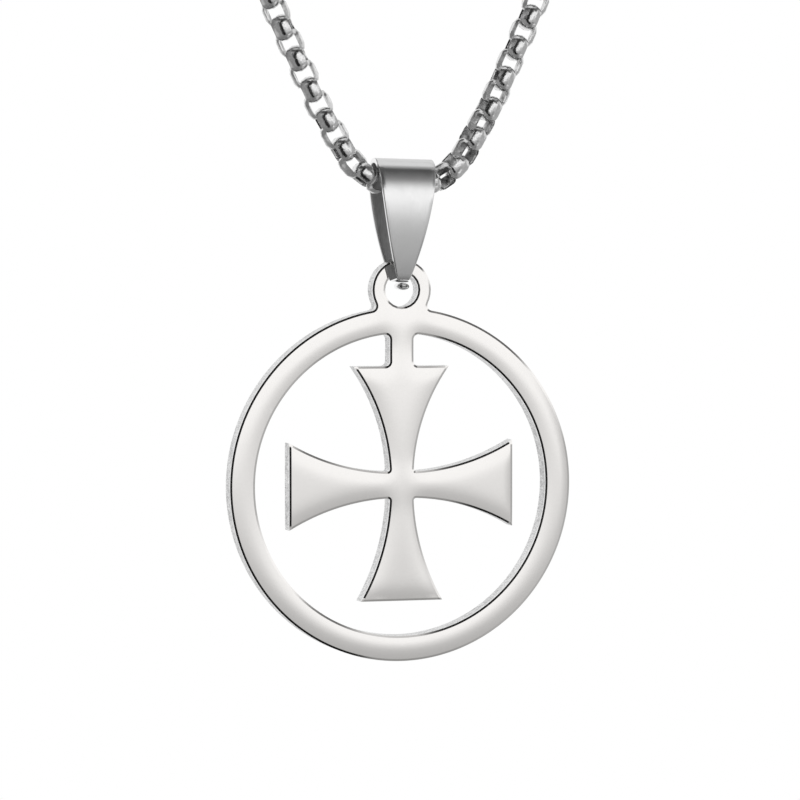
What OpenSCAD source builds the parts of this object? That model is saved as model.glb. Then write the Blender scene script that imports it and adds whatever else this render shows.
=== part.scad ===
/* [Medal] */
// Outer diameter of the ring
ring_d = 35; // [34:0.5:40]
// Width of the ring's band
band_w = 2.5; // [2:0.1:3]
// Thickness of the plate that the medal is cut from
plate_t = 2; // [1.5:0.1:2.5]
// Width of the neck bar that joins the cross to the ring
neck_w = 2.4; // [2:0.1:3]
// Outer diameter of the lug
lug_d = 6; // [5.6:0.1:7]
// Diameter of the lug's hole
hole_d = 3.4; // [3.2:0.1:3.8]
// Height of the hole's centre above the top of the ring
hole_rise = 1.8; // [1.6:0.1:2.4]
// Radius of the soft corners where the lug and the neck bar meet the ring
corner_r = 0.5; // [0.3:0.1:0.8]

/* [Cross] */
// Width across the end of the top arm
top_w = 9.8; // [8:0.1:11]
// Distance from the middle of the cross to the end of the top arm
top_reach = 11.75; // [10:0.25:12]
// Width across the end of the foot arm
foot_w = 8.4; // [7:0.1:10]
// Distance from the middle of the cross to the end of the foot arm
foot_reach = 11.5; // [10:0.25:12]
// Width across the end of each side arm
side_w = 8.6; // [7:0.1:10]
// Distance from the middle of the cross to the end of each side arm
side_reach = 11.5; // [10:0.25:12]
// Width of the upright arms where they are narrowest
upright_waist = 2.4; // [2:0.1:3]
// Width of the side arms where they are narrowest
side_waist = 2.6; // [2:0.1:3]
// Distance from the middle of the cross to the narrowest part of an arm
waist_rise = 0.5; // [0.4:0.1:0.6]
// Radius of the soft corners between the arms
crossing_r = 0.25; // [0.2:0.05:0.4]

/* [Bail] */
// Thickness of the bail's strip
strip_t = 0.5; // [0.4:0.05:0.6]
// Width of the strip over the top of the chain
bail_w = 6; // [5:0.1:6.5]
// Width of the strip under the hole's upper edge
waist_w = 1.3; // [1.1:0.1:1.4]
// Radius of the curved edges of the leaves, seen from the front
leaf_edge_r = 55; // [50:5:200]
// Outer radius of the curl over the chain
curl_r = 2.1; // [2:0.05:2.3]
// Radius of the bail's shoulders, seen from the side
shoulder_r = 7; // [5:0.5:9]
// Height of the bail's top above the hole's centre
bail_rise = 12.95; // [12.5:0.05:13.5]
// Height of the chain's middle above the hole's centre
chain_rise = 10.7; // [10.5:0.05:10.75]
// Sideways lean of the bail, in degrees
bail_lean = 1.5; // [0:0.5:1.5]

/* [Chain] */
// Width of the chain
chain_d = 2.6; // [2.2:0.1:2.6]
// Sideways shift of the bottom of the V, which fades out towards the neck
v_shift = 0.6; // [0:0.1:0.6]

/* [Clasp] */
// Length of the clasp's barrel
clasp_l = 14; // [12:0.5:16]
// Diameter of the clasp's barrel
clasp_d = 4.4; // [4:0.1:5]

/* [Hidden] */
$fn = 96;

steel = [0.79, 0.79, 0.8];
bright_steel = [0.86, 0.86, 0.87];
dark_steel = [0.62, 0.62, 0.64];

// The origin is on the nape, in the middle of the clasp. The front faces -Y.
// The pivot is the middle of the chain, where it passes through the bail.
pivot = [0, -138, -178];

ring_r = ring_d / 2;
window_r = ring_r - band_w;
lug_r = lug_d / 2;
hole_r = hole_d / 2;
hole_height = ring_r + hole_rise;
medal_centre = pivot - [0, 0, hole_height + chain_rise];

// The webs of the neck bar and the lug reach this far into the cross and the ring.
sunk = 0.5;
// Cutting shapes run past the surface that they cut by this much.
over = 1;

// The strip's corners stay this far inside the hole, and its leaves this far off the plate.
play = 0.06;
bail_top = hole_height + bail_rise;
// The strip is this much wider, on each side, at its upper face than at its lower face.
waist_flare = 0.15;
strip_half = waist_w / 2 + waist_flare;
foot_top = hole_height + sqrt(pow(hole_r - play, 2) - strip_half * strip_half);
foot_bottom = foot_top - strip_t;
// Inner radius of the two folds under the hole's upper edge
fold_r = 0.1;
foot_corner_r = strip_t + fold_r;
fold_half = plate_t / 2 + play - fold_r;
fold_height = foot_bottom + foot_corner_r;
// Seen from the side, the curl runs into the shoulders, where the strip has turned this many degrees
// off the vertical, the shoulders run down to where the loop is widest, and each leaf is one long arc
// from there into its fold.
shoulder_turn = 26.25;
wide_half = shoulder_r - (shoulder_r - curl_r) * cos(shoulder_turn);
wide_height = bail_top - curl_r - (shoulder_r - curl_r) * sin(shoulder_turn);
leaf_drop = wide_height - fold_height;
leaf_inset = wide_half - fold_half;
leaf_r = (leaf_inset * leaf_inset + leaf_drop * leaf_drop - foot_corner_r * foot_corner_r)
    / (2 * (leaf_inset - foot_corner_r));
leaf_sides = 192;

// Each end of the chain sits in a blind socket, off its wall by socket_play and off its floor by end_gap.
socket_depth = 3;
socket_play = 0.1;
socket_r = chain_d / 2 + socket_play;
end_gap = 0.2;
barrel_edge = 0.4;

// One half of the chain's centre line, measured from the pivot.
// Columns: distance from the middle plane, distance back, distance up.
half_route = [
    [0, 0, -0.3], [2, 0, -0.1], [3.2, 0, 0.15], [4.4, 0, 0.9], [5.8, 0, 2.3], [7.2, 0, 4.6],
    [8.8, 0, 7.4], [10.9, 0, 11.8], [14.8, 0.3, 20.5], [21.1, 1.8, 36], [27.3, 4.8, 51.5], [33.3, 8.8, 67],
    [39, 14.2, 82], [44.2, 21.2, 96.5], [48.9, 30, 110.5], [52.9, 40, 123.5], [56.2, 52, 135],
    [58.7, 65, 145.5], [60, 79.5, 154.5], [59.6, 94.5, 162.5], [56.5, 109, 168.5], [49.6, 122, 173],
    [38.6, 131.5, 176], [24.6, 136.5, 177.6], [10, 138, 178],
    [clasp_l / 2 - socket_depth + end_gap, 138, 178]
];
chain_sides = 8;
// A stretch longer than this gets a ring in its middle
long_stretch = 10;
// Normal of the plane that the loop lies near, which keeps the tube from twisting
loop_normal = [0, 0.79, -0.61];

function unit(v) = v / norm(v);

// Point at distance ra from a and rb from b, on the right of the way from a to b.
function meet(a, ra, b, rb) =
    let (d = norm(b - a), u = unit(b - a), along = (ra * ra - rb * rb + d * d) / (2 * d))
    a + along * u + sqrt(ra * ra - along * along) * [u[1], -u[0]];

// Radius of the side of an arm: an arc from the waist to the corner of the arm's end
function arm_r(end_w, reach, waist) =
    let (run = reach - waist_rise, flare = (end_w - waist) / 2)
    (run * run + flare * flare) / (2 * flare);

// Centre of the arc on the right side of an upright arm
function arm_centre(end_w, reach, waist) = [waist / 2 + arm_r(end_w, reach, waist), waist_rise];

// A flat web of material whose corners are rounded out by circles
module web(points, corners, r) {
    difference() {
        polygon(points);
        for (corner = corners)
            translate(corner) circle(r = r);
    }
}

function flipped(points) = [for (i = [len(points) - 1:-1:0]) [-points[i][0], points[i][1]]];

// One arm of the cross, standing up from the origin
module arm(end_w, reach, waist) {
    centre = arm_centre(end_w, reach, waist);
    difference() {
        translate([-end_w / 2, 0]) square([end_w, reach]);
        for (side = [-1, 1])
            translate([side * centre[0], centre[1]]) circle(r = arm_r(end_w, reach, waist));
    }
}

// Centre of the soft corner between an upright arm and the side arm on its right
function crossing_corner(end_w, reach) =
    let (level = arm_centre(side_w, side_reach, side_waist))
    meet([level[1], level[0]], arm_r(side_w, side_reach, side_waist) - crossing_r,
        arm_centre(end_w, reach, upright_waist), arm_r(end_w, reach, upright_waist) - crossing_r);

module cross_outline() {
    above = crossing_corner(top_w, top_reach);
    below = crossing_corner(foot_w, foot_reach);
    right_side = [[below[0], -below[1]], above];
    corners = concat(right_side, flipped(right_side));
    arm(top_w, top_reach, upright_waist);
    rotate(180) arm(foot_w, foot_reach, upright_waist);
    for (turn = [-90, 90])
        rotate(turn) arm(side_w, side_reach, side_waist);
    web(corners, corners, crossing_r);
}

// Bar from the cross to the ring, with a soft corner at each end of each side
module neck_outline() {
    half = neck_w / 2;
    wide = half + corner_r;
    low = top_reach + corner_r;
    high = sqrt(pow(window_r - corner_r, 2) - wide * wide);
    right_side = [[wide, top_reach - sunk], [wide, low], [half, low],
        [half, high], [wide, high], [wide, window_r + sunk]];
    corners = [for (side = [-1, 1], z = [low, high]) [side * wide, z]];
    web(concat(right_side, flipped(right_side)), corners, corner_r);
}

// Ear above the ring, with a soft corner on each side
module lug_outline() {
    ear = [0, hole_height];
    corner = meet([0, 0], ring_r + corner_r, ear, lug_r + corner_r);
    right_side = [[corner[0], ring_r - 2 * sunk], corner, ear + unit(corner - ear) * lug_r];
    translate(ear) circle(r = lug_r);
    web(concat(right_side, flipped(right_side)), [corner, [-corner[0], corner[1]]], corner_r);
}

module medal_outline() {
    difference() {
        union() {
            difference() {
                circle(r = ring_r);
                circle(r = window_r);
            }
            neck_outline();
            lug_outline();
        }
        translate([0, hole_height]) circle(r = hole_r);
    }
    cross_outline();
}

module medal() {
    color(bright_steel)
        translate(medal_centre)
            rotate([90, 0, 0])
                linear_extrude(plate_t, center = true) medal_outline();
}

// The part of the bail's side view between two heights, whose sides are arcs of radius r
module bulge(r, inset, low, high) {
    intersection() {
        translate([-shoulder_r, low]) square([2 * shoulder_r, high - low]);
        translate([wide_half - r, wide_height]) circle(r = r - inset, $fn = leaf_sides);
        translate([r - wide_half, wide_height]) circle(r = r - inset, $fn = leaf_sides);
    }
}

// The bail's side view, drawn in by inset: the curl, the shoulders, the two leaves and the rounded foot
module loop_outline(inset) {
    curl_height = bail_top - curl_r;
    high = curl_height + (curl_r - inset) * sin(shoulder_turn);
    low = fold_height - (foot_corner_r - inset) * leaf_drop / (leaf_r - foot_corner_r);
    translate([0, curl_height]) circle(r = curl_r - inset);
    bulge(shoulder_r, inset, wide_height - over, high);
    bulge(leaf_r, inset, low, wide_height);
    for (side = [-1, 1])
        translate([side * fold_half, fold_height]) circle(r = foot_corner_r - inset);
    translate([-fold_half, foot_bottom + inset]) square([2 * fold_half, foot_corner_r]);
}

// The bail's front view: two long arcs that meet the wide top and the narrow foot
module leaf_outline() {
    top = [bail_w / 2, bail_top];
    low = [waist_w / 2, foot_bottom];
    right_edge_centre = meet(top, leaf_edge_r, low, leaf_edge_r);
    intersection() {
        translate([-bail_w, low[1] - over]) square([2 * bail_w, top[1] - low[1] + 2 * over]);
        translate(right_edge_centre) circle(r = leaf_edge_r, $fn = leaf_sides);
        mirror([1, 0]) translate(right_edge_centre) circle(r = leaf_edge_r, $fn = leaf_sides);
    }
}

module bail() {
    color(steel)
        translate(medal_centre)
            translate([0, 0, hole_height]) rotate([0, bail_lean, 0]) translate([0, 0, -hole_height])
                intersection() {
                    rotate([90, 0, 90])
                        linear_extrude(2 * bail_w, center = true)
                            difference() {
                                loop_outline(0);
                                loop_outline(strip_t);
                            }
                    rotate([90, 0, 0])
                        linear_extrude(2 * shoulder_r, center = true) leaf_outline();
                }
}

// Point of the centre line on one side of the middle plane
function route_point(side, row) =
    pivot + [side * row[0] + v_shift * (1 + row[2] / pivot[2]), row[1], row[2]];

route = concat(
    [for (i = [len(half_route) - 1:-1:1]) route_point(-1, half_route[i])],
    [for (row = half_route) route_point(1, row)]
);

// Middle of the smooth curve between points b and c, with their neighbours a and d
function curve_middle(a, b, c, d) = (9 * (b + c) - a - d) / 16;

centre_line = [for (i = [0:len(route) - 1])
    let (last = len(route) - 1, b = route[i], c = route[min(i + 1, last)])
    each norm(c - b) > long_stretch
        ? [b, curve_middle(route[max(i - 1, 0)], b, c, route[min(i + 2, last)])]
        : [b]
];

function ring_direction(i) =
    let (last = len(centre_line) - 1)
    unit(centre_line[min(i + 1, last)] - centre_line[max(i - 1, 0)]);

function ring_points(i) =
    let (ahead = ring_direction(i), across = unit(cross(ahead, loop_normal)), up = cross(across, ahead))
    [for (k = [0:chain_sides - 1])
        let (a = 360 * (k + 0.5) / chain_sides)
        centre_line[i] + chain_d / 2 * (cos(a) * across + sin(a) * up)];

// One tube along the chain's route, from one end in the clasp to the other
module chain() {
    last = len(centre_line) - 1;
    points = [for (i = [0:last]) each ring_points(i)];
    walls = [for (i = [0:last - 1], k = [0:chain_sides - 1])
        let (next = (k + 1) % chain_sides)
        [i * chain_sides + k, i * chain_sides + next,
            (i + 1) * chain_sides + next, (i + 1) * chain_sides + k]];
    near_end = [[for (k = [chain_sides - 1:-1:0]) k]];
    far_end = [[for (k = [0:chain_sides - 1]) last * chain_sides + k]];
    color(dark_steel)
        polyhedron(points, concat(walls, near_end, far_end), convexity = 10);
}

// Barrel at the nape, with a blind socket for each end of the chain
module clasp() {
    half = clasp_l / 2;
    barrel_r = clasp_d / 2;
    color(steel)
        rotate([0, 90, 0])
            difference() {
                rotate_extrude()
                    polygon([
                        [0, -half], [barrel_r - barrel_edge, -half], [barrel_r, barrel_edge - half],
                        [barrel_r, half - barrel_edge], [barrel_r - barrel_edge, half], [0, half]
                    ]);
                for (side = [0, 1])
                    mirror([0, 0, side])
                        translate([0, 0, half - socket_depth])
                            cylinder(h = socket_depth + over, r = socket_r);
            }
}

medal();
bail();
chain();
clasp();
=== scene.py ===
"""Cross pendant on a round box chain: the looks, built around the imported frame."""

import cmath
import logging
import math
from collections.abc import Iterable
from dataclasses import dataclass
from enum import Enum

import bmesh
import bpy
import numpy as np
from bmesh.types import BMEdge, BMesh, BMFace, BMVert
from bpy.types import Material, Mesh, Node, NodeSocket, NodeTree, Object
from mathutils import Matrix, Vector


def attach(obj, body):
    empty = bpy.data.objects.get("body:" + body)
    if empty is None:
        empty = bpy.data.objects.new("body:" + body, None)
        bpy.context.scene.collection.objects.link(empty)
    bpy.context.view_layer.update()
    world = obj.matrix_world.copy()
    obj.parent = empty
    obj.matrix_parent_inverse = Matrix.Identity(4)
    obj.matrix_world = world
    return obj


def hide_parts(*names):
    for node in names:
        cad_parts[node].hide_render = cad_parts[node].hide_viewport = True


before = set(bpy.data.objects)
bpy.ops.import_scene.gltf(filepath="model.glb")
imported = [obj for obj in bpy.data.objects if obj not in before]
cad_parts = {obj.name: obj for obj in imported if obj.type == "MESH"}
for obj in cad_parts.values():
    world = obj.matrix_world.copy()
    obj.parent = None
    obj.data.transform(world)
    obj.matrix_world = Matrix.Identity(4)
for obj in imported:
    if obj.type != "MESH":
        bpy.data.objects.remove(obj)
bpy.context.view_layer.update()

LOG = logging.getLogger("pendant")

# Pieces are modelled in millimetres and made metres when they are placed.
MM = 0.001
# Points that are closer than this are one point, in millimetres.
TINY = 1e-4
# An arc of any size has at least this many steps.
LEAST_STEPS = 6
# The profile of a bevel that is part of a circle
ROUND = 0.5
# How strongly large faces hold their own direction, of 100
FLAT_WEIGHT = 70
# How many places of the plate's faces are worked out at a time
BATCH = 1000
# The detail of the metal's noises, and the values that most of a noise lies between
DETAIL = 3.0
MOST_OF_NOISE = (0.3, 0.7)
# Where the bail swings about the chain: the chain's middle inside the bail's curl, in metres
PIVOT = Vector((0, -0.138, -0.178))

# The centre and the radius of a circle
Circle = tuple[complex, float]


class Body(Enum):
    """The moving bodies of the frame."""

    LOOP = "loop"
    BAIL = "bail"
    MEDAL = "medal"


class Axis(Enum):
    """The direction that the lines of a grain run in."""

    BACK = 1
    UP = 2


class Zone(Enum):
    """What a face of the plate is while the plate is being modelled."""

    REST = 0
    FACE = 1
    FACET = 2


class StripPart(Enum):
    """What a face of the bail's strip is, which gives it its finish."""

    OUTSIDE = 0
    INSIDE = 1
    EDGE = 2


def unit(step: complex) -> complex:
    """Returns a step of length one in the same direction."""
    return step / abs(step)


def meet(a: complex, reach_a: float, b: complex, reach_b: float) -> complex:
    """Finds where two circles meet.

    Args:
        a: Centre of the first circle.
        reach_a: Its radius.
        b: Centre of the second circle.
        reach_b: Its radius.

    Returns:
        The meeting point on the right of the way from a to b.
    """
    gap = abs(b - a)
    along = (reach_a**2 - reach_b**2 + gap**2) / (2 * gap)
    return a + unit(b - a) * complex(along, -math.sqrt(reach_a**2 - along**2))


def toward(azimuth: float, elevation: float) -> Vector:
    """Finds a direction as seen from the medal.

    Args:
        azimuth: Degrees to the right of straight ahead of the medal.
        elevation: Degrees above the horizon.

    Returns:
        The direction, of length one.
    """
    across, up = math.radians(azimuth), math.radians(elevation)
    return Vector((math.sin(across) * math.cos(up), -math.cos(across) * math.cos(up), math.sin(up)))


def grey(light: float) -> tuple[float, float, float, float]:
    """Returns the opaque grey of a brightness."""
    return light, light, light, 1.0


def feed(tree: NodeTree, node: Node, inputs: dict[str | int, object]) -> None:
    """Sets the inputs of a node.

    Args:
        tree: The node's tree.
        node: The node.
        inputs: The value of each input, or the output that it follows.
    """
    for name, value in inputs.items():
        if isinstance(value, NodeSocket):
            tree.links.new(value, node.inputs[name])
        else:
            node.inputs[name].default_value = value


def add(tree: NodeTree, kind: str, inputs: dict[str | int, object], **settings: object) -> Node:
    """Adds a node.

    Args:
        tree: The tree that it goes into.
        kind: Its type, without the word that all types start with.
        inputs: The value of each input, or the output that it follows.
        settings: Its other settings.

    Returns:
        The node.
    """
    node = tree.nodes.new("ShaderNode" + kind)
    for name, value in settings.items():
        setattr(node, name, value)
    feed(tree, node, inputs)
    return node


def soften(bm: BMesh, edges: list[BMEdge], width: float, steps: int) -> list[BMVert]:
    """Rounds edges.

    Args:
        bm: The mesh that they are in.
        edges: The edges.
        width: How far the rounding reaches into each face.
        steps: How many faces it takes.

    Returns:
        The vertices of the rounding.
    """
    return bmesh.ops.bevel(bm, geom=edges, offset=width, offset_type="OFFSET", affect="EDGES",
        segments=steps, profile=ROUND, material=-1)["verts"]


def piece_from(bm: BMesh, name: str, *finishes: "Steel | Paper") -> Object:
    """Makes a shown piece of a finished bmesh.

    Args:
        bm: The mesh, in metres and in place. It is freed.
        name: The piece's name.
        finishes: One finish for each material index.

    Returns:
        The new object, at the origin.
    """
    mesh = bpy.data.meshes.new(name)
    bm.to_mesh(mesh)
    bm.free()
    for finish in finishes:
        mesh.materials.append(finish.material())
    piece = bpy.data.objects.new(name, mesh)
    bpy.context.scene.collection.objects.link(piece)
    return piece


def settle(piece: Object, body: Body, node: str) -> None:
    """Hands a piece to the frame.

    Args:
        piece: The finished piece.
        body: The body that it moves with.
        node: The CAD node that it stands for.
    """
    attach(piece, body.value)
    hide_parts(node)
    LOG.info("%s: %d faces on %s", piece.name, len(piece.data.polygons), body.value)


def hold_flats(piece: Object) -> None:
    """Lets the large faces of a piece mirror as flats, so that only its soft edges bend the light."""
    flat_sides = piece.modifiers.new("flat_sides", "WEIGHTED_NORMAL")
    flat_sides.weight, flat_sides.keep_sharp = FLAT_WEIGHT, True


class Pen:
    """Draws an outline of lines and arcs in a plane that faces the viewer.

    A point of the plane is a complex number: distance across, and distance up times 1j.
    """

    def __init__(self, bm: BMesh, start: complex, chord: float) -> None:
        """Puts the pen down.

        Args:
            bm: The mesh that it draws in.
            start: The first point.
            chord: Longest step along an arc.
        """
        self.bm = bm
        self.at = start
        self.chord = chord
        self.tip = [bm.verts.new((start.real, 0, start.imag))]

    def line(self, end: complex) -> None:
        """Draws a straight line.

        Args:
            end: The point that it ends at.
        """
        steps = math.ceil(abs(end - self.at) / self.chord)
        move = (end - self.at) / steps
        self._sweep(dvec=(move.real, 0, move.imag), angle=0, steps=steps)
        self.at = end

    def arc(self, centre: complex, end: complex) -> None:
        """Draws an arc of less than half a turn.

        Args:
            centre: The arc's centre.
            end: The point that it ends at.
        """
        turn = cmath.phase((end - centre) / (self.at - centre))
        steps = max(LEAST_STEPS, math.ceil(abs(turn) * abs(end - centre) / self.chord))
        self._sweep(cent=(centre.real, 0, centre.imag), axis=(0, -1, 0), angle=turn, steps=steps)
        self.at = end

    def close(self) -> None:
        """Joins the last point to the first and fills the outline."""
        bmesh.ops.remove_doubles(self.bm, verts=self.bm.verts, dist=TINY)
        bmesh.ops.contextual_create(self.bm, geom=self.bm.edges[:])

    def _sweep(self, **how: object) -> None:
        """Moves the tip, leaving edges behind it."""
        made = bmesh.ops.spin(self.bm, geom=self.tip, **how)
        self.tip = [part for part in made["geom_last"] if isinstance(part, BMVert)]


# Colours of bare steel
NEUTRAL = (1.0, 1.0, 1.0)
WARM = (1.0, 0.98, 0.96)


@dataclass(frozen=True)
class Steel:
    """A finish of bare steel, with grain and uneven polish.

    Attributes:
        name: The material's name.
        tone: Brightness of the metal.
        roughness: Mean roughness.
        uneven: How far the roughness strays from its mean.
        patch: Size of the patches of uneven polish, in millimetres.
        grain: Width of the grain's lines, in millimetres, or of its spots.
        grain_length: How many times longer than wide the lines are.
        grain_axis: The direction that the lines run in.
        grain_depth: Depth of the grain's bump, in millimetres.
        grain_shade: How far the grain darkens the metal.
        tint: The metal's colour at full brightness.
    """

    name: str
    tone: float
    roughness: float
    uneven: float
    patch: float
    grain: float
    grain_length: float
    grain_axis: Axis
    grain_depth: float
    grain_shade: float
    tint: tuple[float, float, float] = NEUTRAL

    def material(self) -> Material:
        """Builds the node tree.

        Returns:
            The new material.
        """
        made = bpy.data.materials.new(self.name)
        made.use_nodes = True
        tree = made.node_tree
        place = add(tree, "TexCoord", {}).outputs["Object"]
        patches = self._noise(tree, place, self.patch, 1.0)
        lines = self._noise(tree, place, self.grain, self.grain_length)
        dark, bright = ((*(channel * tone for channel in self.tint), 1)
            for tone in (self.tone * (1 - self.grain_shade), self.tone))
        rough = self._range(tree, patches, self.roughness - self.uneven, self.roughness + self.uneven)
        share = self._range(tree, lines, 0.0, 1.0)
        colour = add(tree, "Mix", {"Factor": share, "A": dark, "B": bright}, data_type="RGBA")
        bump = add(tree, "Bump", {"Distance": self.grain_depth * MM, "Height": lines})
        feed(tree, tree.nodes["Principled BSDF"], {
            "Metallic": 1.0,
            "Roughness": rough,
            "Base Color": colour.outputs["Result"],
            "Normal": bump.outputs["Normal"],
        })
        return made

    def _noise(self, tree: NodeTree, place: NodeSocket, size: float, stretch: float) -> NodeSocket:
        """Adds a noise whose spots are stretched along the grain's axis.

        Args:
            tree: The material's node tree.
            place: Where a point of the piece is.
            size: Width of a spot, in millimetres.
            stretch: How many times longer than wide it is.

        Returns:
            The noise's value.
        """
        scale = [1 / (size * MM)] * 3
        scale[self.grain_axis.value] /= stretch
        mapping = add(tree, "Mapping", {"Vector": place, "Scale": scale})
        noise = add(tree, "TexNoise", {"Vector": mapping.outputs["Vector"], "Scale": 1.0, "Detail": DETAIL})
        return noise.outputs["Fac"]

    @staticmethod
    def _range(tree: NodeTree, value: NodeSocket, low: float, high: float) -> NodeSocket:
        """Spreads the middle of a noise between two values.

        Args:
            tree: The material's node tree.
            value: The noise's value.
            low: The lowest value that comes out.
            high: The highest value that comes out.

        Returns:
            The value that comes out.
        """
        least, most = MOST_OF_NOISE
        spread = add(tree, "MapRange",
            {"Value": value, "From Min": least, "From Max": most, "To Min": low, "To Max": high})
        return spread.outputs["Result"]


# Columns: name, tone, roughness, uneven, patch, grain, grain_length, grain_axis, grain_depth,
# grain_shade and tint
POLISHED_PLATE = Steel("polished_plate", 0.97, 0.085, 0.02, 2.5, 0.35, 1, Axis.BACK, 0.0004, 0.02, WARM)
SHEARED_WALL = Steel("sheared_wall", 0.97, 0.2, 0.05, 0.8, 0.12, 8, Axis.BACK, 0.002, 0.06)
TORN_WALL = Steel("torn_wall", 1.0, 0.3, 0.08, 0.8, 0.13, 3, Axis.BACK, 0.02, 0.5)
SATIN_STRIP = Steel("satin_strip", 0.95, 0.2, 0.03, 1.2, 0.05, 30, Axis.UP, 0.0008, 0.06)
# Darker than the strip's outside: painted shade inside the loop, and on the strip's tail
STRIP_INSIDE_PAINTED_SHADE = Steel("strip_inside_painted_shade", 0.6, 0.35, 0.05, 1.2, 0.08, 12, Axis.UP, 0.004, 0.2)
STRIP_EDGE = Steel("strip_edge", 1.0, 0.07, 0.02, 0.8, 0.1, 6, Axis.UP, 0.0004, 0.04)
CHAIN_LINKS = Steel("chain_links", 0.95, 0.14, 0.05, 0.7, 0.2, 1, Axis.UP, 0.018, 0.2)
# Dark and light patches on the links' insides: painted shade between the links, and painted reflections
LINK_INSIDE_PAINTED_SHADE_AND_REFLECTIONS = Steel("link_inside_painted_shade_and_reflections", 0.95, 0.25, 0.05, 0.7, 0.8, 1, Axis.UP, 0.02, 0.93)
CLASP_BARREL = Steel("clasp_barrel", 0.8, 0.2, 0.04, 1.5, 0.06, 40, Axis.BACK, 0.001, 0.06)


@dataclass
class Medal:
    """The cross in a ring, cut from one plate and buffed. Sizes are millimetres."""

    # The ring, the bar that holds the cross, and the lug. The hole's centre is hole_rise above the ring.
    ring_d: float = 35.0
    band_w: float = 2.5
    plate_t: float = 2.0
    neck_w: float = 2.4
    lug_d: float = 6.0
    hole_d: float = 3.4
    hole_rise: float = 1.8
    corner_r: float = 0.5
    # The cross: how wide its arms end and how far they reach, and how narrow they are at their waists
    top_w: float = 9.8
    top_reach: float = 11.75
    foot_w: float = 8.4
    foot_reach: float = 11.5
    side_w: float = 8.6
    side_reach: float = 11.5
    upright_waist: float = 2.4
    side_waist: float = 2.6
    waist_rise: float = 0.5
    crossing_r: float = 0.25
    # How high the chain's middle is above the hole's centre
    chain_rise: float = 10.7
    # Polishing: a small slanted facet along every edge, and faces that sink towards the edges
    facet_w: float = 0.2
    facet_depth: float = 0.05
    sink: float = 0.15
    sink_reach: float = 0.85
    # The mesh: steps of the outline, a narrow rim round each face, and square cells inside it. The
    # grid of cells is shifted, so that no cut runs along an edge of the cross.
    chord: float = 0.5
    inset: float = 0.05
    cell: float = 0.4
    cell_shift: float = 0.13
    # Edges that turn more than this many degrees stay sharp.
    sharp_turn: float = 30.0
    # The cutting tool shears the front of the walls, and tears the rest. A wall is a face whose normal
    # leans forwards or backwards by less than wall_tilt.
    sheared_depth: float = 0.35
    wall_tilt: float = 0.1

    @property
    def hole_height(self) -> float:
        """Height of the hole's centre above the ring's centre."""
        return self.ring_d / 2 + self.hole_rise

    @property
    def centre(self) -> Vector:
        """The ring's centre, in metres."""
        return PIVOT - Vector((0, 0, (self.hole_height + self.chain_rise) * MM))

    def side_arc(self, end_w: float, reach: float, waist: float) -> Circle:
        """Finds the arc on the right side of an arm that stands up.

        Args:
            end_w: Width of the arm's end.
            reach: Distance from the middle of the cross to the arm's end.
            waist: The arm's least width.

        Returns:
            The arc's centre and radius.
        """
        run, flare = reach - self.waist_rise, (end_w - waist) / 2
        radius = (run**2 + flare**2) / (2 * flare)
        return complex(waist / 2 + radius, self.waist_rise), radius

    def draw_crossing(self, pen: Pen, a: Circle, b: Circle, end: complex) -> None:
        """Draws the sides of two neighbouring arms, with a soft corner between them.

        Args:
            pen: The pen, at the end of the first arm's side.
            a: Centre and radius of the first side.
            b: Centre and radius of the second side.
            end: The far end of the second side.
        """
        r = self.crossing_r
        corner = meet(b[0], b[1] - r, a[0], a[1] - r)
        pen.arc(a[0], a[0] + unit(corner - a[0]) * a[1])
        pen.arc(corner, b[0] + unit(corner - b[0]) * b[1])
        pen.arc(b[0], end)

    def draw_half(self, bm: BMesh) -> None:
        """Draws and fills the right half of the plate, about the ring's centre.

        Args:
            bm: The empty mesh that it goes into.
        """
        ring_r, window_r, r = self.ring_d / 2, self.ring_d / 2 - self.band_w, self.corner_r
        ear, lug_r, hole_r = self.hole_height * 1j, self.lug_d / 2, self.hole_d / 2
        pen = Pen(bm, ear + lug_r * 1j, self.chord)

        ear_corner = meet(0, ring_r + r, ear, lug_r + r)
        pen.arc(ear, ear + unit(ear_corner - ear) * lug_r)
        pen.arc(ear_corner, unit(ear_corner) * ring_r)
        pen.arc(0, -ring_r * 1j)
        pen.line(-window_r * 1j)

        half = self.neck_w / 2
        wide = half + r
        high = complex(wide, math.sqrt((window_r - r) ** 2 - wide**2))
        low = complex(wide, self.top_reach + r)
        pen.arc(0, unit(high) * window_r)
        pen.arc(high, high - r)
        pen.line(low - r)
        pen.arc(low, low - r * 1j)

        top = self.side_arc(self.top_w, self.top_reach, self.upright_waist)
        foot = self.side_arc(self.foot_w, self.foot_reach, self.upright_waist)
        level = self.side_arc(self.side_w, self.side_reach, self.side_waist)
        upper = (complex(level[0].imag, level[0].real), level[1])
        lower = (upper[0].conjugate(), level[1])
        tip = complex(self.side_reach, self.side_w / 2)
        pen.line(complex(self.top_w / 2, self.top_reach))
        self.draw_crossing(pen, top, upper, tip)
        pen.line(tip.conjugate())
        heel = complex(self.foot_w / 2, -self.foot_reach)
        self.draw_crossing(pen, lower, (foot[0].conjugate(), foot[1]), heel)

        pen.line(-self.foot_reach * 1j)
        pen.line(ear - hole_r * 1j)
        pen.arc(ear, ear + hole_r)
        pen.arc(ear, ear + hole_r * 1j)
        pen.line(ear + lug_r * 1j)
        pen.close()

    @staticmethod
    def boundary(bm: BMesh) -> tuple[np.ndarray, np.ndarray]:
        """Measures the outline of a flat sheet.

        Args:
            bm: The sheet, in the plane that faces the viewer.

        Returns:
            The middle of each edge of the outline, and its outward normal times its length.
        """
        middles, normals = [], []
        for edge in bm.edges:
            if edge.is_boundary:
                loop = edge.link_loops[0]
                start, end = loop.vert.co, loop.link_loop_next.vert.co
                middles.append((start + end) / 2)
                normals.append((end - start).cross(loop.face.normal))
        return np.array(middles)[:, ::2], np.array(normals)[:, ::2]

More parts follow.
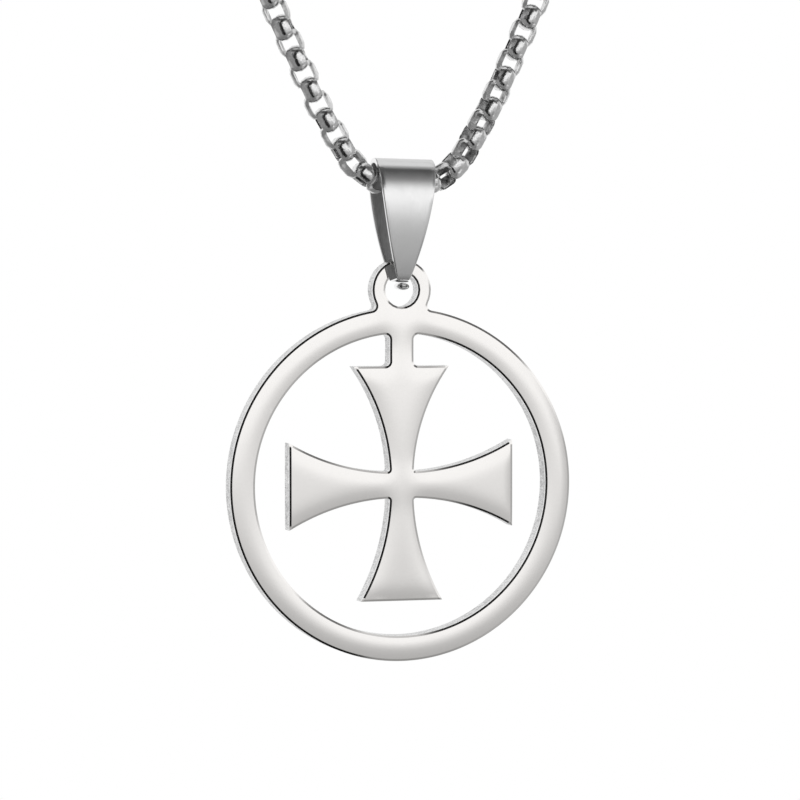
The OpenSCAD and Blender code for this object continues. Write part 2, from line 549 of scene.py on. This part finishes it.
    def sunk(self, places: np.ndarray, middles: np.ndarray, normals: np.ndarray) -> np.ndarray:
        """Works out how deep the buffing wheel sinks each place of a face.

        The wheel is soft, so it sinks a place by the share of its pad that hangs over the edge. The
        share is the flux of the pad's pressure through the outline.

        Args:
            places: Across and up of each place.
            middles: Middle of each edge of the outline.
            normals: Outward normal of each edge, times its length.

        Returns:
            The depth at each place.
        """
        away = middles[None, :, :] - places[:, None, :]
        squares = np.maximum((away**2).sum(2), TINY**2)
        pressure = -np.expm1(-squares / (2 * self.sink_reach**2)) / (2 * math.pi * squares)
        return self.sink * (1 - ((away * normals[None]).sum(2) * pressure).sum(1))

    def build(self) -> Object:
        """Models the plate.

        Returns:
            The finished piece.
        """
        bm = bmesh.new()
        self.draw_half(bm)
        bmesh.ops.mirror(bm, geom=bm.verts[:] + bm.edges[:] + bm.faces[:], axis="X", merge_dist=TINY)
        bmesh.ops.recalc_face_normals(bm, faces=bm.faces)
        middles, normals = self.boundary(bm)

        # Half the plate: a sheet at the front, its facets, its sunk face, and then its mirror image
        half = self.plate_t / 2
        raised = bmesh.ops.extrude_face_region(bm, geom=bm.faces[:])["geom"]
        raised = [part for part in raised if isinstance(part, BMVert)]
        bmesh.ops.translate(bm, verts=raised, vec=(0, self.facet_depth - half, 0))
        middle_faces = [f for f in bm.faces if all(v.co.y > -TINY for v in f.verts)]
        bmesh.ops.delete(bm, geom=middle_faces, context="FACES")
        bmesh.ops.recalc_face_normals(bm, faces=bm.faces)

        front = [f for f in bm.faces if all(v.co.y < TINY + self.facet_depth - half for v in f.verts)]
        self.mark(bm.faces, Zone.REST)
        facets = bmesh.ops.inset_region(bm, faces=front, thickness=self.facet_w, use_even_offset=True)
        self.mark(facets["faces"], Zone.FACET)
        raised = list({v for f in front for v in f.verts})
        bmesh.ops.translate(bm, verts=raised, vec=(0, -self.facet_depth, 0))
        rim = bmesh.ops.inset_region(bm, faces=front, thickness=self.inset, use_even_offset=True)
        self.mark(rim["faces"], Zone.REST)
        self.mark(front, Zone.FACE)
        self.slice_faces(bm)

        skin = [v for v in bm.verts if v.co.y < self.facet_depth + TINY - half]
        places = np.array([v.co for v in skin])[:, ::2]
        for first in range(0, len(skin), BATCH):
            depths = self.sunk(places[first:first + BATCH], middles, normals)
            for vert, depth in zip(skin[first:first + BATCH], depths):
                vert.co.y += depth

        bmesh.ops.mirror(bm, geom=bm.verts[:] + bm.edges[:] + bm.faces[:], axis="Y", merge_dist=TINY)
        bmesh.ops.recalc_face_normals(bm, faces=bm.faces)
        tear = self.sheared_depth - half
        bmesh.ops.bisect_plane(bm, geom=bm.verts[:] + bm.edges[:] + bm.faces[:], dist=TINY,
            plane_co=(0, tear, 0), plane_no=(0, 1, 0))
        for edge in bm.edges:
            facets = [face.material_index == Zone.FACET.value for face in edge.link_faces]
            edge.smooth = facets[0] == facets[1] and edge.calc_face_angle() < math.radians(self.sharp_turn)
        for face in bm.faces:
            face.smooth = True
            wall = abs(face.normal.y) < self.wall_tilt
            # The number of the finish: polished, or sheared where it is a wall, or torn further back
            face.material_index = int(wall) + int(wall and face.calc_center_median().y > tear)
        bmesh.ops.transform(bm, matrix=Matrix.Translation(self.centre) @ Matrix.Scale(MM, 4), verts=bm.verts)
        return piece_from(bm, "medal_plate", POLISHED_PLATE, SHEARED_WALL, TORN_WALL)

    @staticmethod
    def mark(faces: Iterable[BMFace], zone: Zone) -> None:
        """Notes what faces of the plate are, for as long as it is being modelled."""
        for face in faces:
            face.material_index = zone.value

    def slice_faces(self, bm: BMesh) -> None:
        """Cuts the marked faces into small cells, so that they can bend.

        Args:
            bm: The plate's mesh.
        """
        size = self.ring_d / 2 + self.hole_rise + self.lug_d
        for normal in (Vector((1, 0, 0)), Vector((0, 0, 1))):
            for place in np.arange(-size, size, self.cell):
                cells = [f for f in bm.faces if f.material_index == Zone.FACE.value]
                edges = {e for f in cells for e in f.edges}
                verts = {v for f in cells for v in f.verts}
                bmesh.ops.bisect_plane(bm, geom=[*cells, *edges, *verts], dist=TINY,
                    plane_co=normal * (place + self.cell_shift * self.cell), plane_no=normal)


@dataclass
class Bail:
    """One strip, folded into a loop around the chain and through the medal's hole. Sizes are millimetres."""

    medal: Medal
    # From the front: the strip's width at the top and the foot, and the arc of its long edges. It is
    # wider than at the foot by waist_flare on each side where it lies on the hole's rim.
    strip_t: float = 0.5
    bail_w: float = 6.0
    waist_w: float = 1.3
    waist_flare: float = 0.15
    leaf_edge_r: float = 55.0
    # From the side: the curl over the chain, the shoulders, and the folds at the foot. The top is
    # bail_rise above the hole's centre. Turns and leans are degrees.
    curl_r: float = 2.1
    shoulder_r: float = 7.0
    shoulder_turn: float = 26.25
    bail_rise: float = 12.95
    lean: float = 1.5
    play: float = 0.06
    fold_r: float = 0.1
    # The mesh: faces across the strip, steps along it, and edges rounded where they turn by more than
    # this many degrees. A face is a cut edge where its normal leans sideways by more than edge_tilt.
    columns: int = 10
    chord: float = 0.3
    sharp_turn: float = 60.0
    edge_r: float = 0.08
    edge_steps: int = 3
    edge_tilt: float = 0.15
    # The strip's own end: a tongue turned back under the foot, and the roll inside the hole
    end_w: float = 1.25
    end_h: float = 0.7
    end_l: float = 1.7
    end_r: float = 0.3
    end_rise: float = 0.34
    end_shift: float = 0.19
    tongue_w: float = 1.35
    tongue_t: float = 0.2
    tongue_r: float = 0.07
    end_sides: int = 20
    # The strip's tail, which stands out on the left of the front leaf's foot
    tail_w: float = 0.85
    tail_t: float = 0.1
    tail_h: float = 1.45
    tail_r: float = 0.03
    tail_steps: int = 2
    tail_turn: float = -28.0
    tail_lean: float = -23.0
    tail_place: tuple[float, float, float] = (-1.25, -1.3, 1.7)

    @property
    def foot(self) -> float:
        """Height of the foot's lower face above the chain's middle.

        Returns:
            The height, which is less than nothing.
        """
        hole_r = self.medal.hole_d / 2 - self.play
        strip_half = self.waist_w / 2 + self.waist_flare
        return math.sqrt(hole_r**2 - strip_half**2) - self.strip_t - self.medal.chain_rise

    @property
    def top(self) -> float:
        """Height of the bail's top above the chain's middle."""
        return self.bail_rise - self.medal.chain_rise

    def draw_loop(self, bm: BMesh) -> None:
        """Draws the loop's outer line as it shows from the side, about the chain's middle.

        Args:
            bm: The empty mesh that it goes into.
        """
        corner_r = self.strip_t + self.fold_r
        curl = (self.top - self.curl_r) * 1j
        turned = cmath.rect(1, math.radians(self.shoulder_turn))
        shoulder = curl - (self.shoulder_r - self.curl_r) * turned
        wide = shoulder + self.shoulder_r
        fold = complex(self.medal.plate_t / 2 + self.play - self.fold_r, self.foot + corner_r)
        inset = wide - fold
        leaf_r = (abs(inset) ** 2 - corner_r**2) / (2 * (inset.real - corner_r))
        leaf = wide - leaf_r
        pen = Pen(bm, self.top * 1j, self.chord)
        pen.arc(curl, curl + self.curl_r * turned)
        pen.arc(shoulder, wide)
        pen.arc(leaf, leaf + unit(fold - leaf) * leaf_r)
        pen.arc(fold, fold - corner_r * 1j)
        pen.line(self.foot * 1j)
        bmesh.ops.mirror(bm, geom=bm.verts[:] + bm.edges[:], axis="X", merge_dist=TINY)
        bmesh.ops.remove_doubles(bm, verts=bm.verts, dist=TINY)
        bmesh.ops.rotate(bm, verts=bm.verts, matrix=Matrix.Rotation(math.radians(90), 3, "Z"))

    def half_width(self, height: float) -> float:
        """Works out the strip's width, which follows one long arc.

        Args:
            height: Height above the chain's middle.

        Returns:
            Half the width at that height.
        """
        low = complex(self.waist_w / 2, self.foot)
        centre = meet(complex(self.bail_w / 2, self.top), self.leaf_edge_r, low, self.leaf_edge_r)
        return centre.real + math.sqrt(self.leaf_edge_r**2 - (height - centre.imag) ** 2)

    def build(self) -> Object:
        """Models the strip.

        Returns:
            The finished piece.
        """
        bm = bmesh.new()
        self.draw_loop(bm)
        # The strip is made from -1 to 1 first, and then as wide as it is at each height.
        bmesh.ops.translate(bm, verts=bm.verts, vec=(-1, 0, 0))
        edges = bm.edges[:]
        for _ in range(self.columns):
            made = bmesh.ops.extrude_edge_only(bm, edges=edges)["geom"]
            edges = [part for part in made if isinstance(part, BMEdge)]
            verts = [part for part in made if isinstance(part, BMVert)]
            bmesh.ops.translate(bm, verts=verts, vec=(2 / self.columns, 0, 0))
        for vert in bm.verts:
            vert.co.x *= self.half_width(vert.co.z)
        bmesh.ops.recalc_face_normals(bm, faces=bm.faces)
        bmesh.ops.solidify(bm, geom=bm.faces[:], thickness=self.strip_t)
        bmesh.ops.recalc_face_normals(bm, faces=bm.faces)
        sharp = [e for e in bm.edges if e.calc_face_angle() > math.radians(self.sharp_turn)]
        soften(bm, sharp, self.edge_r, self.edge_steps)
        self.mark_strip(bm)
        self.add_turned_end(bm)
        self.add_tail(bm)
        for face in bm.faces:
            face.smooth = True
        hole = Matrix.Translation((0, 0, -self.medal.chain_rise))
        lean = hole @ Matrix.Rotation(math.radians(self.lean), 4, "Y") @ hole.inverted()
        to_place = Matrix.Translation(PIVOT) @ Matrix.Scale(MM, 4)
        bmesh.ops.transform(bm, matrix=to_place @ lean, verts=bm.verts)
        piece = piece_from(bm, "bail_strip", SATIN_STRIP, STRIP_INSIDE_PAINTED_SHADE, STRIP_EDGE)
        hold_flats(piece)
        return piece

    def mark_strip(self, bm: BMesh) -> None:
        """Gives the cut edges their own finish, and the faces that look into the loop a darker one, which is
        painted shade.

        Args:
            bm: The strip's mesh.
        """
        for face in bm.faces:
            middle = face.calc_center_median()
            middle.x, middle.z = 0, max(0, middle.z)
            part = StripPart.OUTSIDE
            if abs(face.normal.x) > self.edge_tilt:
                part = StripPart.EDGE
            elif face.normal.dot(middle) < -abs(face.normal.x) * middle.length:
                # Faces that look into the loop take the darker finish, which is painted shade
                part = StripPart.INSIDE
            face.material_index = part.value

    def add_turned_end(self, bm: BMesh) -> None:
        """Adds the strip's end: a flat tongue under the foot, and the roll that it ends in.

        Args:
            bm: The strip's mesh.
        """
        low = self.foot - self.tongue_t / 2
        tongue = (self.tongue_w, self.tongue_t, self.tongue_r, 0.0, low)
        roll = (self.end_w, self.end_h, self.end_r, self.end_shift, self.end_rise - self.medal.chain_rise)
        for wide, high, soft, across, up in (tongue, roll):
            verts = bmesh.ops.create_cone(bm, cap_ends=True, segments=self.end_sides, radius1=0.5,
                radius2=0.5, depth=1.0, matrix=Matrix.Rotation(math.radians(90), 4, "X"))["verts"]
            bmesh.ops.scale(bm, verts=verts, vec=(wide, self.end_l, high))
            back = (self.end_l - self.medal.plate_t) / 2
            bmesh.ops.translate(bm, verts=verts, vec=(across, back, up))
            rims = [e for e in bm.edges
                if e.verts[0] in verts and abs(e.verts[0].co.y - e.verts[1].co.y) < TINY]
            verts += soften(bm, rims, soft, self.edge_steps)
            for face in {f for v in verts if v.is_valid for f in v.link_faces}:
                face.material_index = StripPart.EDGE.value

    def add_tail(self, bm: BMesh) -> None:
        """Adds the strip's tail, a thin leaf that stands out at a slant, darkened with the inside's painted
        shade.

        Args:
            bm: The strip's mesh.
        """
        verts = bmesh.ops.create_cube(bm, size=1.0)["verts"]
        bmesh.ops.scale(bm, verts=verts, vec=(self.tail_w, self.tail_t, self.tail_h))
        turn = Matrix.Rotation(math.radians(self.tail_turn), 3, "Z")
        lean = Matrix.Rotation(math.radians(self.tail_lean), 3, "Y")
        bmesh.ops.rotate(bm, verts=verts, matrix=turn @ lean)
        hole = Vector((0, 0, -self.medal.chain_rise))
        bmesh.ops.translate(bm, verts=verts, vec=hole + Vector(self.tail_place))
        # The tail takes the darker inside finish, which is painted shade
        for face in {f for v in verts for f in v.link_faces}:
            face.material_index = StripPart.INSIDE.value
        soften(bm, list({e for v in verts for e in v.link_edges}), self.tail_r, self.tail_steps)


# One half of the chain's centre line, in metres from the pivot.
# Columns: distance from the middle plane, distance back, distance up.
HALF_ROUTE = [
    (0, 0, -0.0003), (0.002, 0, -0.0001), (0.0032, 0, 0.00015), (0.0044, 0, 0.0009), (0.0058, 0, 0.0023),
    (0.0072, 0, 0.0046), (0.0088, 0, 0.0074), (0.0109, 0, 0.0118), (0.0148, 0.0003, 0.0205),
    (0.0211, 0.0018, 0.036), (0.0273, 0.0048, 0.0515), (0.0333, 0.0088, 0.067), (0.039, 0.0142, 0.082),
    (0.0442, 0.0212, 0.0965),
    (0.0489, 0.03, 0.1105), (0.0529, 0.04, 0.1235), (0.0562, 0.052, 0.135), (0.0587, 0.065, 0.1455),
    (0.06, 0.0795, 0.1545), (0.0596, 0.0945, 0.1625), (0.0565, 0.109, 0.1685), (0.0496, 0.122, 0.173),
    (0.0386, 0.1315, 0.176), (0.0246, 0.1365, 0.1776), (0.01, 0.138, 0.178), (0.0042, 0.138, 0.178),
]
# The bottom of the V lies this far to the right of the middle, in metres, and the nape doesn't.
V_SHIFT = 0.0006

# How far the links are turned about the chain, as it hangs in the V.
# Columns: distance along the chain from the bottom of the V in metres, turn in degrees.
TWIST = [
    (-0.1, 0), (-0.0208, 12), (-0.0175, 9), (-0.0143, 3), (-0.011, -4), (-0.0077, -12), (-0.0045, -22),
    (0.003, 40), (0.0065, 45), (0.01, 38), (0.0135, 28), (0.017, 18), (0.0205, 9), (0.1, 0),
]
# The way that an unturned link's front or back faces
FACING = Vector((-0.285, -0.957, 0.048))


@dataclass
class BoxChain:
    """The round box chain: rounded square rings, each turned a quarter from the last.

    Sizes are millimetres.
    """

    pitch: float = 1.67
    # How far along the chain the middle link lies from the bottom of the V
    phase: float = -0.98
    link_r: float = 1.31
    corner_r: float = 0.8
    band_w: float = 1.72
    thick: float = 0.5
    # The band's section: its outside falls by the crown towards its borders, along a curve of this
    # power through these shares of half its width. Its inside is flat and narrower.
    crown: float = 0.42
    crown_power: float = 2.2
    crown_shares: tuple[float, ...] = (-1, -0.6, 0, 0.6, 1)
    inside_share: float = 0.72
    # A face is the band's inside where it looks inwards this many times more than along the ring's axis.
    inward: float = 4.0
    # Edges that turn more than this many degrees stay sharp.
    sharp_turn: float = 48.0
    corner_steps: int = 2
    route_steps: int = 16

    def route(self) -> np.ndarray:
        """Runs a smooth curve through the route's points.

        Returns:
            Many points along it, in metres, from the left end to the right end.
        """
        sides = []
        for side in (-1, 1):
            sides.append([PIVOT + Vector((side * across + V_SHIFT * (1 + up / PIVOT.z), back, up))
                for across, back, up in HALF_ROUTE])
        points = np.array(sides[0][:0:-1] + sides[1])
        points = np.vstack([2 * points[0] - points[1], points, 2 * points[-1] - points[-2]])
        share = np.linspace(0, 1, self.route_steps, endpoint=False)[:, None]
        curve = []
        for a, b, c, d in zip(points, points[1:], points[2:], points[3:]):
            curve.append(b + share * (c - a) / 2 + share**2 * (2 * a - 5 * b + 4 * c - d) / 2
                + share**3 * (3 * b - a - 3 * c + d) / 2)
        return np.vstack([*curve, points[-2]])

    def link(self) -> Mesh:
        """Models one ring: a crowned strip, bent round a square with soft corners.

        Returns:
            The ring's mesh. Its strip runs along Z at the front and back, which face Y.
        """
        bm = bmesh.new()
        half, inner = self.band_w / 2, self.link_r - self.thick
        section = [(share, self.link_r - self.crown * abs(share) ** self.crown_power)
            for share in self.crown_shares]
        section += [(self.inside_share, inner), (-self.inside_share, inner)]
        profile = [bm.verts.new((half * share, radius, 0)) for share, radius in section]
        rim = [bm.edges.new(pair) for pair in zip(profile, profile[1:] + profile[:1])]
        straight = self.link_r - self.corner_r
        tip = profile + rim
        bmesh.ops.translate(bm, verts=profile, vec=(0, 0, -straight))
        for side in range(4):
            turn = Matrix.Rotation(math.radians(90 * side), 3, "X")
            tip = bmesh.ops.spin(bm, geom=tip, dvec=turn @ Vector((0, 0, 2 * straight)), angle=0,
                steps=1)["geom_last"]
            tip = bmesh.ops.spin(bm, geom=tip, cent=turn @ Vector((0, straight, straight)), axis=(1, 0, 0),
                angle=math.radians(90), steps=self.corner_steps)["geom_last"]
        bmesh.ops.remove_doubles(bm, verts=bm.verts, dist=TINY)
        bmesh.ops.recalc_face_normals(bm, faces=bm.faces)
        for face in bm.faces:
            face.smooth = True
            middle = face.calc_center_median()
            middle.x = 0
            along = abs(face.normal.x) * middle.length
            # The band's inside takes the finish with painted shade and painted reflections
            face.material_index = int(face.normal.dot(middle) < -self.inward * along)
        for edge in bm.edges:
            edge.smooth = edge.calc_face_angle() < math.radians(self.sharp_turn)
        bmesh.ops.scale(bm, verts=bm.verts, vec=(MM, MM, MM))
        mesh = bpy.data.meshes.new("link")
        bm.to_mesh(mesh)
        bm.free()
        return mesh

    def places(self) -> list[Matrix]:
        """Works out where each link lies and how it is turned.

        Returns:
            One matrix for each link, from the left end to the right end.
        """
        curve = self.route()
        along = np.concatenate([[0], np.cumsum(np.linalg.norm(np.diff(curve, axis=0), axis=1))])
        bottom = along[len(along) // 2] + self.phase * MM
        pitch, reach = self.pitch * MM, self.link_r * MM

        def point(distance: float) -> Vector:
            """Returns the point of the curve at a distance from its left end."""
            return Vector([np.interp(distance, along, curve[:, axis]) for axis in range(3)])

        found = []
        first = math.ceil((reach - bottom) / pitch)
        last = math.floor((along[-1] - reach - bottom) / pitch)
        for count in range(first, last + 1):
            distance = bottom + count * pitch
            ahead = (point(distance + pitch / 2) - point(distance - pitch / 2)).normalized()
            twist = np.interp(count * pitch, *zip(*TWIST)) + 90 * (count % 2)
            front = (FACING - FACING.dot(ahead) * ahead).normalized()
            front = Matrix.Rotation(math.radians(twist), 3, ahead) @ front
            turn = Matrix((front.cross(ahead), front, ahead)).transposed()
            found.append(Matrix.Translation(point(distance)) @ turn.to_4x4())
        return found

    def build(self) -> Object:
        """Strings the links along the route.

        Returns:
            The finished piece.
        """
        link = self.link()
        bm = bmesh.new()
        for place in self.places():
            first = len(bm.verts)
            bm.from_mesh(link)
            bm.verts.ensure_lookup_table()
            bmesh.ops.transform(bm, matrix=place, verts=bm.verts[first:])
        piece = piece_from(bm, "chain_links", CHAIN_LINKS, LINK_INSIDE_PAINTED_SHADE_AND_REFLECTIONS)
        hold_flats(piece)
        return piece


@dataclass
class Clasp:
    """A plain barrel at the nape, with a blind socket for each end of the chain.

    Sizes are millimetres.
    """

    length: float = 14.0
    diameter: float = 4.4
    socket_depth: float = 3.0
    socket_r: float = 1.4
    lip_r: float = 0.2
    shoulder_r: float = 0.5
    chord: float = 0.5
    # Edges that turn more than this many degrees stay sharp.
    sharp_turn: float = 45.0
    sides: int = 48

    def build(self) -> Object:
        """Turns the barrel.

        Returns:
            The finished piece.
        """
        bm = bmesh.new()
        half, radius = self.length / 2, self.diameter / 2
        floor = half - self.socket_depth
        pen = Pen(bm, complex(floor, 0), self.chord)
        pen.line(complex(floor, self.socket_r))
        lip = complex(half - self.lip_r, self.socket_r + self.lip_r)
        pen.line(lip - self.lip_r * 1j)
        pen.arc(lip, lip + self.lip_r)
        shoulder = complex(half - self.shoulder_r, radius - self.shoulder_r)
        pen.arc(shoulder, shoulder + self.shoulder_r * 1j)
        pen.line(complex(0, radius))
        bmesh.ops.mirror(bm, geom=bm.verts[:] + bm.edges[:], axis="X", merge_dist=TINY)
        bmesh.ops.spin(bm, geom=bm.verts[:] + bm.edges[:], axis=(1, 0, 0), cent=(0, 0, 0),
            angle=math.radians(360), steps=self.sides, use_merge=True)
        bmesh.ops.remove_doubles(bm, verts=bm.verts, dist=TINY)
        bmesh.ops.recalc_face_normals(bm, faces=bm.faces)
        for face in bm.faces:
            face.smooth = True
        for edge in bm.edges:
            edge.smooth = edge.calc_face_angle() < math.radians(self.sharp_turn)
        bmesh.ops.scale(bm, verts=bm.verts, vec=(MM, MM, MM))
        return piece_from(bm, "clasp_barrel", CLASP_BARREL)


@dataclass(frozen=True)
class Card:
    """A soft round patch of the studio that the steel mirrors.

    Attributes:
        azimuth: Degrees to the right of straight ahead of the medal.
        elevation: Degrees above the horizon.
        inner: Radius of its even middle, in degrees.
        outer: Radius where it ends, in degrees.
        light: Its brightness.
    """

    azimuth: float
    elevation: float
    inner: float
    outer: float
    light: float

    def cover(self, tree: NodeTree, place: NodeSocket, shade: NodeSocket) -> NodeSocket:
        """Lays the card over the surroundings.

        Args:
            tree: The node tree of the surroundings.
            place: The direction that is looked in.
            shade: The surroundings so far.

        Returns:
            The surroundings with the card.
        """
        dot = add(tree, "VectorMath", {0: place, 1: toward(self.azimuth, self.elevation)},
            operation="DOT_PRODUCT")
        edge = add(tree, "MapRange", {
            "Value": dot.outputs["Value"],
            "From Min": math.cos(math.radians(self.outer)),
            "From Max": math.cos(math.radians(self.inner)),
        }, interpolation_type="SMOOTHSTEP")
        mix = add(tree, "Mix", {"Factor": edge.outputs["Result"], "A": shade, "B": grey(self.light)},
            data_type="RGBA")
        return mix.outputs["Result"]


@dataclass(frozen=True)
class Paper:
    """A pale paper with faint clouds and a fine tooth.

    Attributes:
        name: The material's name.
        clouds: Clouds to a metre.
        tooth: Grains of the tooth to a metre.
        tones: Its darkest and its lightest tone.
        roughness: Its least and its greatest roughness.
        tooth_depth: Depth of the tooth's bump, in millimetres.
    """

    name: str
    clouds: float
    tooth: float
    tones: tuple[float, float]
    roughness: tuple[float, float]
    tooth_depth: float

    def material(self) -> Material:
        """Builds the node tree.

        Returns:
            The new material.
        """
        made = bpy.data.materials.new(self.name)
        made.use_nodes = True
        tree = made.node_tree
        place = add(tree, "TexCoord", {}).outputs["Object"]
        clouds, tooth = (add(tree, "TexNoise", {"Vector": place, "Scale": scale}).outputs["Fac"]
            for scale in (self.clouds, self.tooth))
        dark, bright = self.tones
        tone = add(tree, "Mix", {"Factor": clouds, "A": grey(dark), "B": grey(bright)}, data_type="RGBA")
        least, most = self.roughness
        rough = add(tree, "MapRange", {"Value": clouds, "To Min": least, "To Max": most})
        bump = add(tree, "Bump", {"Distance": self.tooth_depth * MM, "Height": tooth})
        feed(tree, tree.nodes["Principled BSDF"], {
            "Base Color": tone.outputs["Result"],
            "Roughness": rough.outputs["Result"],
            "Normal": bump.outputs["Normal"],
        })
        return made


PAPER = Paper("paper", clouds=6.0, tooth=900.0, tones=(0.93, 0.97), roughness=(0.7, 0.9), tooth_depth=0.2)


@dataclass
class Studio:
    """Camera, soft light, and a pale floor below the hanging piece.

    Attributes:
        target: The place that the camera looks at, in metres.
        azimuth: Degrees that the camera stands to the right of straight ahead of the medal.
        elevation: Degrees that it stands above the target.
        distance: Its distance from the target, in metres.
        lens: Its focal length, in millimetres.
        sensor: The width of its sensor, in millimetres.
        clip: The nearest and the furthest that it sees, in metres.
        floor_z: Height of the floor, in metres.
        floor_r: Radius of the floor, in metres.
        floor_sides: How many sides the floor has.
        heights: Brightness of the surroundings: the sine of the elevation, and the light there.
        cards: Patches over them. A later card covers an earlier one.
    """

    target: Vector = Vector((-0.0001, -0.1386, -0.1996))
    azimuth: float = -16.58
    elevation: float = 2.75
    distance: float = 0.4
    lens: float = 181.96
    sensor: float = 36.0
    clip: tuple[float, float] = (0.01, 20.0)
    floor_z: float = -0.35
    floor_r: float = 0.45
    floor_sides: int = 96
    heights: tuple[tuple[float, float], ...] = (
        (-1.0, 0.2), (-0.7, 0.26), (-0.5, 0.35), (-0.37, 0.43), (-0.26, 0.43), (-0.2, 0.47),
        (-0.14, 0.54), (-0.085, 0.7), (-0.07, 0.76), (-0.042, 0.89), (-0.02, 0.96), (0.08, 0.98),
        (0.3, 0.97), (0.4, 0.8), (0.56, 0.22), (0.72, 0.06), (0.85, 0.03), (0.92, 0.05), (0.95, 0.7),
        (1.0, 0.75),
    )
    cards: tuple[Card, ...] = (
        Card(-75, 0, 35, 50, 0.27),
        Card(-122, 0, 24, 36, 0.2),
        Card(-150, 22, 10, 16, 0.9),
        Card(-100, -34, 8, 18, 0.5),
        Card(90, -20, 40, 52, 0.42),
        Card(103, 5, 14, 22, 0.75),
        Card(56, -36, 5, 9, 0.95),
        Card(32, -24, 4, 9, 0.2),
        Card(54, -2, 4, 8, 0.4),
        Card(31, -3, 3, 9, 0.5),
        Card(-48, 17, 6, 10, 0.02),
        Card(-62, 24, 3, 6, 0.9),
        Card(-26, -2, 14, 18, 0.01),
        Card(-20, 18, 14, 18, 0.01),
        Card(-4, 34, 14, 17, 0.01),
        Card(-20, -24, 14, 18, 0.01),
        Card(-6, -38, 12, 16, 0.01),
        Card(42, 29, 9, 14, 0.12),
        Card(73, 62, 12, 20, 0.35),
        Card(-107, 62, 12, 20, 0.35),
        Card(168, 0, 30, 40, 0.9),
        Card(123, 70, 16, 24, 0.7),
        Card(158, 41, 16, 24, 0.7),
    )

    def camera(self) -> None:
        """Places the camera at the photo's viewing angle."""
        data = bpy.data.cameras.new("camera")
        data.lens, data.sensor_width = self.lens, self.sensor
        data.clip_start, data.clip_end = self.clip
        camera = bpy.data.objects.new("camera", data)
        back = toward(self.azimuth, self.elevation)
        camera.location = self.target + back * self.distance
        camera.rotation_euler = (-back).to_track_quat("-Z", "Y").to_euler()
        bpy.context.scene.collection.objects.link(camera)
        bpy.context.scene.camera = camera

    def light(self) -> None:
        """Builds the surroundings: white to look at, and shaded cards for the steel to mirror."""
        world = bpy.data.worlds.new("studio")
        world.use_nodes = True
        bpy.context.scene.world = world
        bpy.context.scene.view_settings.view_transform = "Standard"
        tree = world.node_tree
        tree.nodes.clear()
        place = add(tree, "TexCoord", {}).outputs["Generated"]
        shade = self.shade_by_height(tree, place)
        for card in self.cards:
            shade = card.cover(tree, place, shade)
        mirrored = add(tree, "Background", {"Color": shade})
        seen = add(tree, "Background", {"Color": grey(1.0)})
        choice = add(tree, "MixShader", {
            "Fac": add(tree, "LightPath", {}).outputs["Is Glossy Ray"],
            1: seen.outputs["Background"],
            2: mirrored.outputs["Background"],
        })
        add(tree, "OutputWorld", {"Surface": choice.outputs["Shader"]})

    def shade_by_height(self, tree: NodeTree, place: NodeSocket) -> NodeSocket:
        """Shades the surroundings by height alone.

        Args:
            tree: The node tree of the surroundings.
            place: The direction that is looked in.

        Returns:
            The shade.
        """
        split = add(tree, "SeparateXYZ", {"Vector": place})
        height = add(tree, "MapRange", {"Value": split.outputs["Z"], "From Min": -1.0})
        ramp = add(tree, "ValToRGB", {"Fac": height.outputs["Result"]})
        elements = ramp.color_ramp.elements
        # A new element starts in the middle, and gets its place in the loop after this one.
        while len(elements) < len(self.heights):
            elements.new(0.5)
        for element, (sine, light) in zip(elements, self.heights):
            element.position = (sine + 1) / 2
            element.color = grey(light)
        return ramp.outputs["Color"]

    def floor(self) -> None:
        """Lays the floor out of the camera's sight, and out of the steel's reflections."""
        bm = bmesh.new()
        bmesh.ops.create_circle(bm, cap_ends=True, segments=self.floor_sides, radius=self.floor_r)
        bmesh.ops.translate(bm, verts=bm.verts, vec=(PIVOT.x, PIVOT.y / 2, self.floor_z))
        floor = piece_from(bm, "floor", PAPER)
        floor.visible_glossy = False


def main() -> None:
    """Builds every sub-assembly, in order, and the studio around them."""
    logging.basicConfig(level=logging.INFO, format="%(message)s")
    studio = Studio()
    studio.camera()
    studio.light()
    studio.floor()
    medal = Medal()
    settle(medal.build(), Body.MEDAL, "medal")
    settle(Bail(medal).build(), Body.BAIL, "bail")
    settle(BoxChain().build(), Body.LOOP, "chain")
    settle(Clasp().build(), Body.LOOP, "clasp")


if __name__ == "__main__":
    main()
